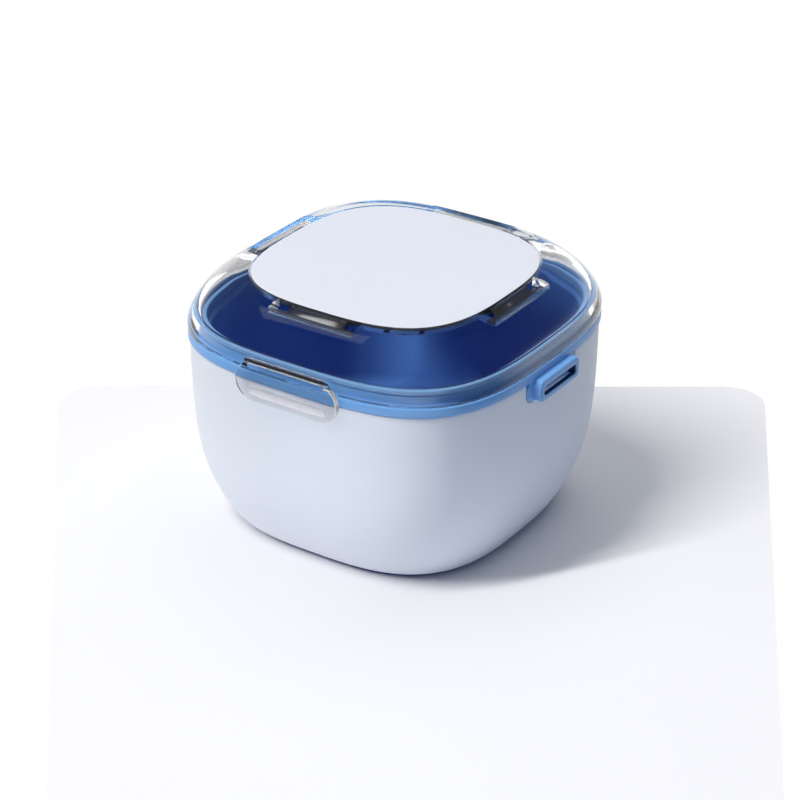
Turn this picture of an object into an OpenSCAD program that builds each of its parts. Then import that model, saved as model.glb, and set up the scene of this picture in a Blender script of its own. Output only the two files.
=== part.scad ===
// Denture soaking case: a pale outer cup with a blue bowl in it, a lift-out strainer basket,
// and a clear domed lid held by two hinged side latches.
// Origin: centre of the base, on the surface it stands on. X runs from lug to lug, Y from latch to latch.
// Every "half" value is a half-width across the flats of the rounded square.

/* [Overall] */
// Width of the shell across its flats, without latches and lugs
case_w = 95; // [85:0.5:115]
// Width of the cup at the surface it stands on
base_w = 74.5; // [64:0.5:82]
// Height from the ground to the top of the lid plate
case_h = 69; // [57:0.5:84]
// Height of the lid plate's top above the underside of the blue rim band
lid_h = 16.5; // [15:0.5:22]
// Squareness of the rim's outline, 2 is a circle
rim_square = 3.24; // [2.6:0.02:4]
// Squareness of the base's outline
base_square = 3; // [2.6:0.02:4]
// How late the side draws in towards the base
side_curve = 4.06; // [3:0.02:5]

/* [Walls] */
// Wall of the outer cup
cup_wall = 1.4; // [1.2:0.1:2]
// Floor of the outer cup
cup_floor = 2; // [1.4:0.1:3]
// Wall of the bowl's lip and of its side above the ledge
bowl_wall = 1.3; // [1:0.1:1.6]
// Floor of the bowl
bowl_floor = 1.8; // [1.2:0.1:3]
// Wall of the basket
basket_wall = 1.2; // [1:0.1:1.6]
// Floor of the basket
basket_floor = 1.6; // [1.2:0.1:3]
// Thickness of the lid's skirt
lid_wall = 2; // [1.6:0.1:2.4]
// Thickness of the lid under the plate
lid_roof = 1.6; // [1.2:0.1:2.4]

/* [Clearances] */
// Gap between the cup and the bowl that sits in it
nest_gap = 0.25; // [0.15:0.05:0.6]
// Gap round the basket, which lifts out
lift_gap = 0.35; // [0.25:0.05:0.6]
// Gap between faces that rest on each other
rest_gap = 0.1; // [0.05:0.05:0.2]
// Radial running clearance of a latch on its pin
pin_play = 0.05; // [0.02:0.01:0.1]
// Gap between a latch and the lid ears beside it
ear_gap = 0.15; // [0.1:0.05:0.3]
// Gap between a closed latch's hook ridge and the rim band
hook_gap = 0.1; // [0.08:0.01:0.2]
// Gap round the plate in its recess
plate_gap = 0.35; // [0.2:0.05:0.6]

/* [Rim] */
// Height of the blue band that shows below the lid
band_h = 2.5; // [1.8:0.1:4]
// How far the band stands out from the cup
band_proud = 0.4; // [0.2:0.05:0.8]
// Height of the bowl's lip above the band
lip_h = 2.4; // [1.8:0.1:3.2]
// Width of the ledge that the basket hangs on
ledge_w = 0.7; // [0.5:0.05:1]
// Depth of the ledge below the bowl's lip
ledge_drop = 3.4; // [3:0.1:5]
// How far the basket's lip stands above the bowl's lip
basket_proud = 0.4; // [0:0.05:0.8]

/* [Basket] */
// Height of the free space between the bowl's floor and the basket's floor
drain_space = 5; // [4:0.5:10]
// Diameter of a drain hole
drain_hole_d = 3.2; // [2:0.1:4]
// Distance between the rings of drain holes
drain_pitch = 7.5; // [6:0.25:8]
// Number of rings of drain holes round the middle one
drain_rings = 3; // [1:1:3]
// Inside radius between the basket's wall and floor
basket_fillet = 7; // [3:0.5:10]

/* [Foot ring] */
// Height of the foot ring below the cup
foot_h = 1.2; // [0.8:0.1:2]
// Depth of the groove it sits in
foot_sink = 0.8; // [0.4:0.1:1]
// Width of the foot ring
foot_w = 5; // [3:0.5:8]
// Distance of the ring from the edge of the cup's flat base
foot_inset = 0.6; // [0.3:0.1:2]

/* [Lid] */
// Height of the straight part of the lid's skirt
skirt_h = 1.85; // [1.4:0.05:3]
// Roundness of the shoulder, 2 is an ellipse and lower is flatter
shoulder_round = 1.55; // [1.3:0.05:2.2]
// Width of the flat border round the plate recess
border_w = 2.45; // [1.2:0.05:4]
// Depth of the plate recess
recess_d = 2.5; // [2.2:0.1:3]
// Height of the soft seal ring
seal_h = 1.4; // [1:0.1:1.8]

/* [Plate] */
// Width of the lid plate
plate_w = 67; // [58:0.5:72]
// Squareness of the plate's outline
plate_square = 3; // [2.6:0.02:3.4]
// Thickness of the plate's edge
plate_edge = 1.5; // [1.2:0.1:1.6]
// Overhang of the plate's edge over its base
plate_overhang = 3.6; // [2.5:0.1:5]

/* [Plate clips] */
// Length of a clip's crossbar
clip_bar_l = 25.4; // [18:0.2:30]
// Width of a clip's tongue
clip_tongue_w = 16.8; // [10:0.2:20]
// Distance that a clip reaches out from the recess wall
clip_reach = 4.2; // [3.4:0.05:5]
// Width of the crossbar across its length
clip_bar_w = 2.6; // [1.6:0.1:3]
// Thickness of the crossbar
clip_bar_t = 0.7; // [0.5:0.1:1.2]

/* [Latches] */
// Length of a latch
latch_l = 30.8; // [24:0.2:38]
// Height of a latch, from its lower edge up to the hinge axis
latch_h = 10.7; // [9:0.1:13]
// Thickness of a latch at its middle
latch_t = 1.25; // [1:0.05:1.8]
// Gap between a latch's inner face and the rim
latch_gap = 0.55; // [0.4:0.05:0.8]
// Height of the hinge axis above the band's underside
hinge_up = 5.8; // [5.4:0.1:6.4]
// Diameter of the hinge pin
pin_d = 0.8; // [0.6:0.1:1]
// Wall of the hinge barrel round the pin
barrel_wall = 0.45; // [0.4:0.05:0.6]
// Length of the hinge pin
pin_l = 25.2; // [18:0.2:30]
// Length of the pin that each lid ear holds
ear_grip = 1.4; // [1:0.1:2]
// Length of the hook ridge
ridge_l = 23.2; // [14:0.2:26]
// Height of the hook ridge
ridge_h = 2.7; // [1.8:0.1:3]
// Gap between the top of the ridge and the band's underside
ridge_drop = 0.9; // [0.4:0.1:1.4]

/* [Lugs] */
// Width of a lug
lug_w = 18.8; // [14:0.2:24]
// Height of a lug
lug_h = 6; // [5:0.1:7]
// How far a lug stands out from the band
lug_out = 2.4; // [1.8:0.1:3.2]
// Width of the root that fills the cup's notch
root_w = 23.4; // [19.4:0.2:28]
// Length of the strap slot
slot_l = 15.4; // [10:0.2:17]
// Height of the strap slot
slot_h = 2.5; // [2:0.1:2.8]
// Thickness of the lug's front bar
bar_t = 1.3; // [1:0.1:1.6]
// Radius of the notch's lower corners
notch_r = 3; // [2:0.25:3.5]

/* [Hidden] */

// points round a rounded-square outline, a multiple of 4 so that the flats' middles are points
ring_count = 52;
// steps of a side wall and of the shoulder
wall_steps = 7;
shoulder_steps = 7;
arc_steps = 4;
$fn = 48;

rim_h = case_h - lid_h;
rim_half = case_w / 2;
cup_half = rim_half - band_proud;
base_half = base_w / 2;

base_fillet = 0.8;
foot_out = side_half(foot_h) - base_fillet - foot_inset;

// heights, from the ground up
cup_floor_z = foot_h + cup_floor;
bowl_z = cup_floor_z + nest_gap + 0.15;
bowl_floor_z = bowl_z + bowl_floor;
basket_z = bowl_floor_z + drain_space;
basket_floor_z = basket_z + basket_floor;
cup_top_z = rim_h - 0.15;
band_top_z = rim_h + band_h;
lip_top_z = band_top_z + lip_h;
ledge_z = lip_top_z - ledge_drop;
basket_top_z = lip_top_z + basket_proud;
lid_z = band_top_z + 0.15;
shoulder_z = lid_z + skirt_h;
seal_z = lip_top_z + rest_gap / 2;
seal_top_z = seal_z + seal_h;
recess_z = case_h - recess_d;
roof_z = recess_z - lid_roof;

// half-widths of the rim's stack, from the outside in
bowl_offset = cup_wall + nest_gap;
bowl_lip_out = rim_half - lid_wall - 0.3;
bowl_lip_in = bowl_lip_out - bowl_wall + 0.25;
bowl_in_offset = cup_half - (bowl_lip_in - ledge_w);
basket_offset = bowl_in_offset + lift_gap;
basket_in_offset = basket_offset + basket_wall;
basket_lip_out = bowl_lip_in - lift_gap;
basket_lip_in = basket_lip_out - basket_wall;
skirt_in = rim_half - lid_wall;
plate_half = plate_w / 2;
recess_half = plate_half + plate_gap;
border_half = recess_half + border_w;

// latch and hinge places, for the front one
barrel_r = pin_d / 2 + barrel_wall + pin_play;
latch_in = rim_half + latch_gap;
latch_out = latch_in + latch_t;
hinge_y = latch_out - barrel_r;
hinge_z = rim_h + hinge_up;
barrel_half = pin_l / 2 - ear_grip;
ear_start = barrel_half + ear_gap;
latch_cut_z = hinge_z - barrel_r - 2 * ear_gap;

// lug places, for the one on +X
lug_face = rim_half + lug_out;
lug_top_z = rim_h + 0.4;
lug_mid_z = lug_top_z - lug_h / 2;
root_face = cup_half + 0.2;
root_back = cup_half - bowl_offset - bowl_wall / 2;
notch_w = root_w + 2 * nest_gap;
notch_bottom_z = lug_top_z - lug_h - nest_gap - 0.1;
slot_z = lug_mid_z - 0.15;
slot_back = cup_half - 1.1;

// outline exponent at a height
function square_at(z) = base_square + (rim_square - base_square) * min(1, z / rim_h);

// half-width of the cup's outside at a height
function side_half(z) =
    base_half + (cup_half - base_half) * (1 - pow(1 - min(z, rim_h) / rim_h, side_curve));

function sign_pow(v, e) = sign(v) * pow(abs(v), e);

// one rounded-square ring of points
function ring_points(half, z, square) =
    [for (i = [0 : ring_count - 1])
        let (t = 360 * i / ring_count)
        [half * sign_pow(cos(t), 2 / square), half * sign_pow(sin(t), 2 / square), z]];

// faces of the band between two neighbouring rings
function band_faces(low, high, count) =
    [for (i = [0 : count - 1], k = [0, 1])
        let (j = (i + 1) % count)
        k == 0 ? [low + i, high + i, high + j] : [low + i, high + j, low + j]];

// profile of a wall from its floor's edge up: a rounded corner, then the cup's side moved in
function wall_profile(offset, z_floor, z_top, fillet) =
    concat(
        [for (i = [0 : arc_steps])
            let (t = 90 * i / arc_steps, z = z_floor + fillet - fillet * cos(t))
            [side_half(z) - offset - fillet * (1 - sin(t)), z]],
        [for (i = [1 : wall_steps])
            let (z = z_floor + fillet + (z_top - z_floor - fillet) * pow(i / wall_steps, 1.3))
            [side_half(z) - offset, z]]);

function reversed(list) = [for (i = [len(list) - 1 : -1 : 0]) list[i]];

// a closed solid from a profile of [half-width, height] pairs, from its lowest cap to its highest
module squircle_solid(profile, squares) {
    rings = len(profile);
    points = [for (i = [0 : rings - 1])
        each ring_points(profile[i][0], profile[i][1],
                         squares == undef ? square_at(profile[i][1]) : squares[i])];
    sides = [for (i = [0 : rings - 2])
        each band_faces(i * ring_count, (i + 1) * ring_count, ring_count)];
    first_cap = [for (i = [0 : ring_count - 1]) i];
    last_cap = [for (i = [ring_count - 1 : -1 : 0]) (rings - 1) * ring_count + i];
    polyhedron(points = points, faces = concat(sides, [first_cap, last_cap]));
}

// a closed loop with the same outline, from a profile that runs counterclockwise
module squircle_loop(profile) {
    rings = len(profile);
    points = [for (p = profile) each ring_points(p[0], p[1], square_at(p[1]))];
    sides = [for (i = [0 : rings - 1])
        each band_faces(i * ring_count, ((i + 1) % rings) * ring_count, ring_count)];
    polyhedron(points = points, faces = sides);
}

// rounded rectangle with exact arcs
module rounded_rect(w, h, r) {
    square([w - 2 * r, h], center = true);
    square([w, h - 2 * r], center = true);
    for (x = [-1, 1], y = [-1, 1])
        translate([x * (w / 2 - r), y * (h / 2 - r)]) circle(r);
}

// bar along X with a cross-section drawn in Y and Z
module along_x(length) {
    rotate([90, 0, 90]) linear_extrude(height = length, center = true) children();
}

// slab across Y with an outline drawn in X and Z, from y = -out to y = -in
module across_y(near, far) {
    translate([0, -near, 0]) rotate([90, 0, 0]) linear_extrude(height = far - near) children();
}

module outer_cup() {
    groove_out = foot_out + rest_gap / 2;
    groove_in = foot_out - foot_w - rest_gap / 2;
    groove_z = foot_h + foot_sink + rest_gap / 2;
    outside = wall_profile(0, foot_h, cup_top_z - 0.2, base_fillet);
    inside = wall_profile(cup_wall, cup_floor_z, cup_top_z - 0.2, 1.2);
    profile = concat(
        [[groove_in, foot_h], [groove_in, groove_z], [groove_out, groove_z], [groove_out, foot_h]],
        outside,
        [[cup_half - 0.25, cup_top_z], [cup_half - cup_wall + 0.25, cup_top_z]],
        reversed(inside));
    color("#dfe8f7")
    difference() {
        squircle_solid(profile);
        // rounded notches for the lug roots
        for (side = [0, 180])
            rotate([0, 0, side])
                translate([cup_half - 2 * cup_wall, 0, 0])
                    rotate([90, 0, 90])
                        linear_extrude(height = 4 * cup_wall)
                            translate([0, notch_bottom_z + root_w / 2])
                                rounded_rect(notch_w, root_w, notch_r);
    }
}

module lug() {
    edge_r = 1.2;
    // root that fills the notch
    translate([root_back, 0, 0])
        rotate([90, 0, 90])
            linear_extrude(height = root_face - root_back)
                translate([0, (rim_h + 0.5 + notch_bottom_z + nest_gap) / 2])
                    rounded_rect(root_w, rim_h + 0.5 - notch_bottom_z - nest_gap, notch_r - 0.3);
    // loop that stands out, with a rounded front
    hull() {
        translate([root_face - 0.4, 0, lug_mid_z])
            rotate([90, 0, 90])
                linear_extrude(height = lug_face - root_face + 0.4 - edge_r / 2)
                    rounded_rect(lug_w, lug_h, 2.2, $fn = 32);
        translate([root_face, 0, lug_mid_z])
            rotate([90, 0, 90])
                linear_extrude(height = lug_face - root_face)
                    rounded_rect(lug_w - edge_r, lug_h - edge_r, 1.7, $fn = 32);
    }
}

module lug_slot() {
    // in through the front
    translate([slot_back, 0, slot_z])
        rotate([90, 0, 90])
            linear_extrude(height = lug_face - slot_back + 1)
                rounded_rect(slot_l, slot_h, 0.6);
    // and out underneath, behind the front bar
    exit_depth = lug_face - bar_t - (root_face + 0.1);
    translate([root_face + 0.1, -slot_l / 2 + 0.6, lug_mid_z - lug_h / 2 - 1])
        cube([exit_depth, slot_l - 1.2, slot_z - lug_mid_z + lug_h / 2 + 1]);
}

module soak_bowl() {
    outside = wall_profile(bowl_offset, bowl_z, rim_h - 0.6, 2.2);
    inside = wall_profile(bowl_in_offset, bowl_floor_z, ledge_z - 0.3, 4);
    edge = 0.2;
    profile = concat(
        outside,
        [[cup_half - bowl_offset, rim_h],
         [rim_half - edge, rim_h], [rim_half, rim_h + edge],
         [rim_half, band_top_z - edge], [rim_half - edge, band_top_z],
         [bowl_lip_out, band_top_z], [bowl_lip_out, lip_top_z - edge],
         [bowl_lip_out - edge, lip_top_z], [bowl_lip_in + edge, lip_top_z],
         [bowl_lip_in, lip_top_z - edge], [bowl_lip_in, ledge_z],
         [bowl_lip_in - ledge_w, ledge_z]],
        reversed(inside));
    color("#7db2e8")
    difference() {
        union() {
            squircle_solid(profile);
            for (side = [0, 180]) rotate([0, 0, side]) lug();
        }
        for (side = [0, 180]) rotate([0, 0, side]) lug_slot();
    }
}

module foot_ring() {
    out = foot_out;
    in = out - foot_w;
    top = foot_h + foot_sink;
    edge = 0.3;
    color("#2c5aa6")
        squircle_loop([[in + edge, 0], [out - edge, 0], [out, edge], [out, top],
                       [in, top], [in, edge]]);
}

module strainer_basket() {
    flange_z = ledge_z + rest_gap;
    outside = wall_profile(basket_offset, basket_z, ledge_z - 0.5, basket_fillet - basket_wall);
    inside = wall_profile(basket_in_offset, basket_floor_z, ledge_z + 0.4, basket_fillet - basket_wall);
    edge = 0.25;
    profile = concat(
        outside,
        [[cup_half - basket_offset, flange_z], [basket_lip_out, flange_z],
         [basket_lip_out, basket_top_z - edge], [basket_lip_out - edge, basket_top_z],
         [basket_lip_in + edge, basket_top_z], [basket_lip_in, basket_top_z - edge],
         [basket_lip_in, ledge_z + 1.3]],
        reversed(inside));
    color("#3b6cb8")
    difference() {
        squircle_solid(profile);
        // drain holes in rings round the middle one
        for (ring = [0 : drain_rings])
            for (i = [0 : max(1, 6 * ring) - 1])
                rotate([0, 0, ring == 0 ? 0 : 360 * i / (6 * ring)])
                    translate([ring * drain_pitch, 0, basket_z - 1])
                        cylinder(d = drain_hole_d, h = basket_floor + 2);
    }
}

// stadium outline of a latch, in X and Z, with its top at the hinge axis
module latch_outline() {
    end_x = latch_l / 2 - latch_h / 2;
    translate([0, hinge_z - latch_h / 2]) {
        square([2 * end_x, latch_h], center = true);
        for (x = [-1, 1]) translate([x * end_x, 0]) circle(latch_h / 2, $fn = 96);
    }
}

module pin_bore(r, length) {
    translate([0, -hinge_y, hinge_z]) rotate([0, 90, 0]) cylinder(r = r, h = length, center = true);
}

// the two ears of the lid that hold one hinge pin
module lid_ears() {
    root_y = rim_half - lid_wall / 2;
    for (side = [-1, 1])
        translate([side * (ear_start + pin_l / 2) / 2, 0, hinge_z])
            along_x(pin_l / 2 - ear_start) {
                translate([-hinge_y, 0]) circle(barrel_r);
                translate([-hinge_y, -barrel_r]) square([hinge_y - root_y, 2 * barrel_r]);
            }
}

module lid() {
    // the shoulder is a quarter of a superellipse, from the skirt to the border
    power = 2 / shoulder_round;
    outer = [for (i = [0 : shoulder_steps])
        let (t = 90 * i / shoulder_steps)
        [border_half + (rim_half - border_half) * pow(cos(t), power),
         shoulder_z + (case_h - shoulder_z) * pow(sin(t), power),
         rim_square + (plate_square - rim_square) * i / shoulder_steps]];
    seal_seat = bowl_lip_in - 0.15;
    roof_half = recess_half - 1.8;
    inner = [for (i = [shoulder_steps : -1 : 0])
        let (t = 90 * i / shoulder_steps)
        [roof_half + (seal_seat - roof_half) * pow(cos(t), power),
         seal_top_z + rest_gap / 2 + (roof_z - seal_top_z - rest_gap / 2) * pow(sin(t), power),
         rim_square + (plate_square - rim_square) * i / shoulder_steps]];
    skirt = [[skirt_in, seal_top_z + rest_gap / 2, rim_square],
             [skirt_in, lid_z + 0.2, rim_square], [skirt_in + 0.2, lid_z, rim_square],
             [rim_half - 0.25, lid_z, rim_square], [rim_half, lid_z + 0.25, rim_square]];
    recess = [[recess_half + 0.15, case_h, plate_square], [recess_half, case_h - 0.15, plate_square],
              [recess_half, recess_z, plate_square]];
    profile = concat(inner, skirt, outer, recess);
    color([0.88, 0.93, 0.98, 0.35])
    difference() {
        union() {
            squircle_solid([for (p = profile) [p[0], p[1]]], [for (p = profile) p[2]]);
            for (side = [0, 180]) rotate([0, 0, side]) lid_ears();
        }
        // notches for the plate clips
        for (side = [0 : 90 : 270])
            rotate([0, 0, side])
                translate([-clip_bar_l / 2 - ear_gap, -recess_half - clip_reach - ear_gap, recess_z])
                    cube([clip_bar_l + 2 * ear_gap, clip_reach + 2, recess_d + 1]);
        // bores that hold the hinge pins
        for (side = [0, 180]) rotate([0, 0, side]) pin_bore(pin_d / 2 + 0.01, pin_l + 0.2);
    }
}

module lid_seal() {
    out = skirt_in - 0.05;
    in = bowl_lip_in;
    edge = 0.3;
    color("#eef3f8")
        squircle_loop([[in + edge, seal_z], [out - edge, seal_z], [out, seal_z + edge],
                       [out, seal_top_z], [in, seal_top_z], [in, seal_z + edge]]);
}

module top_plate() {
    under = plate_half - plate_overhang;
    edge_z = case_h - plate_edge;
    foot_z = recess_z + rest_gap / 2;
    profile = [[under, foot_z], [under, edge_z], [plate_half, edge_z],
               [plate_half, case_h - 0.4], [plate_half - 0.12, case_h - 0.12],
               [plate_half - 0.4, case_h]];
    color("#e3ebf9")
        squircle_solid(profile, [for (p = profile) plate_square]);
}

// one clip, on the front side of the plate: a tongue that slopes down to a thin crossbar
module plate_clip() {
    bar_out = recess_half + clip_reach;
    bar_in = bar_out - clip_bar_w;
    bar_z = recess_z + rest_gap / 2;
    bar_top_z = bar_z + clip_bar_t;
    toe_in = plate_half - plate_overhang + 0.6;
    toe_z = case_h - plate_edge - rest_gap / 2;
    // crossbar, with its outer top edge cut back
    along_x(clip_bar_l)
        polygon([[-bar_out, bar_z], [-bar_in, bar_z], [-bar_in, bar_top_z],
                 [-bar_out + 0.3, bar_top_z], [-bar_out, bar_top_z - 0.3]]);
    // tongue, with a toe under the plate's edge
    along_x(clip_tongue_w)
        polygon([[-bar_in - 0.3, bar_z], [-toe_in, bar_z], [-toe_in, toe_z], [-plate_half - 0.1, toe_z],
                 [-plate_half - 0.1, case_h - 0.5], [-bar_in - 0.3, bar_top_z]]);
}

module plate_clips() {
    color([0.93, 0.94, 0.96, 0.5])
        for (side = [0 : 90 : 270]) rotate([0, 0, side]) plate_clip();
}

module latch() {
    ridge_t = latch_gap - hook_gap;
    ridge_z = rim_h - ridge_drop - ridge_h / 2;
    ridge_r = (pow(ridge_h / 2, 2) + pow(ridge_t, 2)) / (2 * ridge_t);
    rim_outline = [for (p = ring_points(rim_half + latch_gap, 0, rim_square)) [p[0], p[1]]];
    difference() {
        union() {
            difference() {
                across_y(rim_half - latch_t, latch_out) latch_outline();
                // inside, the latch follows the rim's curve
                translate([0, 0, hinge_z - 2 * latch_h])
                    linear_extrude(height = 4 * latch_h) polygon(rim_outline);
                // room for the lid's ears beside the barrel
                for (side = [-1, 1])
                    translate([side > 0 ? barrel_half : -barrel_half - latch_l, -latch_out - 1, latch_cut_z])
                        cube([latch_l, 2 * latch_t + 3, latch_h]);
            }
            pin_bore(barrel_r, 2 * barrel_half);
            // hook ridge inside, a shallow arc
            intersection() {
                translate([0, -latch_in + ridge_t - ridge_r, ridge_z])
                    rotate([0, 90, 0]) cylinder(r = ridge_r, h = ridge_l, center = true, $fn = 96);
                translate([-ridge_l / 2, -latch_in - latch_t / 2, ridge_z - ridge_h / 2])
                    cube([ridge_l, latch_t, ridge_h]);
            }
        }
        pin_bore(pin_d / 2 + pin_play, latch_l);
    }
}

module front_latch() {
    color([0.9, 0.93, 0.97, 0.4]) latch();
}

module rear_latch() {
    color([0.9, 0.93, 0.97, 0.4]) rotate([0, 0, 180]) latch();
}

module front_hinge_pin() {
    color("#5b5f66") pin_bore(pin_d / 2, pin_l);
}

module rear_hinge_pin() {
    color("#5b5f66") rotate([0, 0, 180]) pin_bore(pin_d / 2, pin_l);
}

outer_cup();
soak_bowl();
foot_ring();
strainer_basket();
lid();
lid_seal();
top_plate();
plate_clips();
front_latch();
rear_latch();
front_hinge_pin();
rear_hinge_pin();
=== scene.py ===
import math

import bmesh
import bpy
import numpy as np
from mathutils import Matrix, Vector


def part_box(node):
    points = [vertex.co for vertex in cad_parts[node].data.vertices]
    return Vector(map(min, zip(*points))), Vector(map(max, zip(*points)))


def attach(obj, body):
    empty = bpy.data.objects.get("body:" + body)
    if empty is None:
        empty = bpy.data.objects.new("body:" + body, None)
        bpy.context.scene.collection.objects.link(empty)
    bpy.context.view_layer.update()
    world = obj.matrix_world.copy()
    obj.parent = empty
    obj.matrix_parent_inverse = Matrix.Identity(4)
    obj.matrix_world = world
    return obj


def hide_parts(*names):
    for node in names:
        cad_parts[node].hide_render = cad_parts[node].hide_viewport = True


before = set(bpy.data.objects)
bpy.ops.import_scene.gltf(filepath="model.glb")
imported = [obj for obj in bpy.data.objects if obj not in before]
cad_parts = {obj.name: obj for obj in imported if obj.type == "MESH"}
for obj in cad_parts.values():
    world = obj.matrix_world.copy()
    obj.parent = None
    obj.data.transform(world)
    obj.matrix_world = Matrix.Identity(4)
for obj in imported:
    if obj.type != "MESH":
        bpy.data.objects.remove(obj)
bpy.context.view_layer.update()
mm = 0.001
cutPast = 1.0  # how far a cutter runs on past the wall that it cuts
capInset = 1.5  # how far in the extra ring of a flat end lies


def nodeBox(node):  # corners of a CAD node in millimetres
    low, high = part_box(node)
    return np.array(low) / mm, np.array(high) / mm


cupLow, cupHigh = nodeBox("outer_cup")
bowlLow, bowlHigh = nodeBox("soak_bowl")
basketLow, basketHigh = nodeBox("strainer_basket")
lidLow, lidHigh = nodeBox("lid")
sealLow, sealHigh = nodeBox("lid_seal")
plateLow, plateHigh = nodeBox("top_plate")
clipLow, clipHigh = nodeBox("plate_clips")
footHigh = nodeBox("foot_ring")[1]
latchLow, latchHigh = nodeBox("front_latch")
pinLow, pinHigh = nodeBox("front_hinge_pin")

# the outline that every shell shares, in millimetres; squareness 2 would be a circle
caseShape = {
    "baseHalf": 37.25,
    "sideCurve": 4.06,
    "rimSquare": 3.24,
    "baseSquare": 3.0,
    "plateSquare": 3.0,
    "bandAboveCup": 0.15,
    "pointsAround": 224,
}
rimHalf = bowlHigh[1]
cupHalf = cupHigh[0]
rimZ = cupHigh[2] + caseShape["bandAboveCup"]
caseTop = lidHigh[2]


def sideHalf(z):  # half-width of the cup's outside at a height
    share = 1 - np.minimum(z, rimZ) / rimZ
    return caseShape["baseHalf"] + (cupHalf - caseShape["baseHalf"]) * (1 - share ** caseShape["sideCurve"])


def squareAt(z):  # how square the outline is at a height
    share = np.minimum(1, np.maximum(0, z) / rimZ)
    return caseShape["baseSquare"] + (caseShape["rimSquare"] - caseShape["baseSquare"]) * share


def outlinePoints(half, square):  # a rounded square, its points evenly turned round the middle
    turn = np.linspace(0, 2 * math.pi, caseShape["pointsAround"], endpoint=False)
    reach = half / (np.abs(np.cos(turn)) ** square + np.abs(np.sin(turn)) ** square) ** (1 / square)
    return np.stack([reach * np.cos(turn), reach * np.sin(turn)], axis=1)


def roundedLine(corners, steps=5, closed=False):
    # corners are (half-width, height, radius); each corner gets an arc of that radius
    points = []
    count = len(corners)
    for i, (x, z, radius) in enumerate(corners):
        here = np.array([x, z], float)
        isEnd = not closed and i in (0, count - 1)
        if radius <= 0 or isEnd:
            points.append(here)
            continue
        before = np.array(corners[i - 1][:2], float)
        after = np.array(corners[(i + 1) % count][:2], float)
        inDir = (before - here) / np.linalg.norm(before - here)
        outDir = (after - here) / np.linalg.norm(after - here)
        halfAngle = math.acos(max(-1, min(1, float(inDir @ outDir)))) / 2
        run = radius / math.tan(halfAngle)
        middle = here + (inDir + outDir) / np.linalg.norm(inDir + outDir) * (radius / math.sin(halfAngle))
        first, last = here + inDir * run - middle, here + outDir * run - middle
        a0, a1 = math.atan2(first[1], first[0]), math.atan2(last[1], last[0])
        sweep = (a1 - a0 + math.pi) % (2 * math.pi) - math.pi
        for k in range(steps + 1):
            a = a0 + sweep * k / steps
            points.append(middle + radius * np.array([math.cos(a), math.sin(a)]))
    return np.array(points)


def makeObject(name, verts, faces):
    mesh = bpy.data.meshes.new(name)
    mesh.from_pydata((np.asarray(verts) * mm).tolist(), [], faces)
    mesh.validate()
    obj = bpy.data.objects.new(name, mesh)
    bpy.context.scene.collection.objects.link(obj)
    facesOut(mesh)
    return obj


def facesOut(mesh):
    bm = bmesh.new()
    bm.from_mesh(mesh)
    bmesh.ops.recalc_face_normals(bm, faces=bm.faces)
    bm.to_mesh(mesh)
    bm.free()


def joinRings(name, rings, closed=False):
    # rings are equal lists of points; neighbours are joined by a band of four-sided faces
    count = len(rings[0])
    verts = np.concatenate(rings)
    faces = []
    for i in range(len(rings) if closed else len(rings) - 1):
        a, b = i * count, (i + 1) % len(rings) * count
        faces += [(a + k, a + (k + 1) % count, b + (k + 1) % count, b + k) for k in range(count)]
    if not closed:
        faces.append(tuple(range(count))[::-1])
        faces.append(tuple(range((len(rings) - 1) * count, len(rings) * count)))
    return makeObject(name, verts, faces)


def shell(name, line, squares=None, closed=False):
    # a body of rounded-square rings along a profile line of (half-width, height)
    squares = squareAt(line[:, 1]) if squares is None else squares
    rings = []
    for (half, z), square in zip(line, squares):
        flat = outlinePoints(half, square)
        rings.append(np.column_stack([flat, np.full(len(flat), z)]))
    return joinRings(name, rings, closed)


def smooth(obj, angle=35):
    obj.data.shade_smooth()
    obj.data.set_sharp_from_angle(angle=math.radians(angle))
    return obj


def applyModifiers(obj):
    graph = bpy.context.evaluated_depsgraph_get()
    made = bpy.data.meshes.new_from_object(obj.evaluated_get(graph))
    obj.modifiers.clear()
    made.name = obj.name
    obj.data = made
    return obj


def shapeWith(obj, others, operation):
    # union or difference with other bodies, which are then removed
    for other in others:
        cut = obj.modifiers.new("cut", "BOOLEAN")
        cut.operation = operation
        cut.solver = "EXACT"
        cut.object = other
    applyModifiers(obj)
    for other in others:
        bpy.data.objects.remove(other)
    return obj


def roundEdges(obj, width, segments=3, angle=40):
    edge = obj.modifiers.new("edge", "BEVEL")
    edge.width = width * mm
    edge.segments = segments
    edge.limit_method = "ANGLE"
    edge.angle_limit = math.radians(angle)
    edge.miter_outer = "MITER_ARC"
    return applyModifiers(obj)


def prism(name, outline, start, end, axis):
    # an outline pushed along an axis: "x" takes (y, z) pairs, "y" takes (x, z), "z" takes (x, y)
    rings = []
    for along in (start, end):
        flat = np.asarray(outline, float)
        column = np.full(len(flat), along)
        if axis == "x":
            rings.append(np.column_stack([column, flat]))
        elif axis == "y":
            rings.append(np.column_stack([flat[:, 0], column, flat[:, 1]]))
        else:
            rings.append(np.column_stack([flat, column]))
    return joinRings(name, rings)


def roundRect(width, height, radius, steps=8, middle=(0, 0)):
    points = []
    for cx, cy, first in ((1, 1, 0), (-1, 1, 90), (-1, -1, 180), (1, -1, 270)):
        for k in range(steps + 1):
            a = math.radians(first + 90 * k / steps)
            points.append((middle[0] + cx * (width / 2 - radius) + radius * math.cos(a),
                           middle[1] + cy * (height / 2 - radius) + radius * math.sin(a)))
    return np.array(points)


def circlePoints(radius, middle, count=40):
    turn = np.linspace(0, 2 * math.pi, count, endpoint=False)
    return np.column_stack([middle[0] + radius * np.cos(turn), middle[1] + radius * np.sin(turn)])


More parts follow.
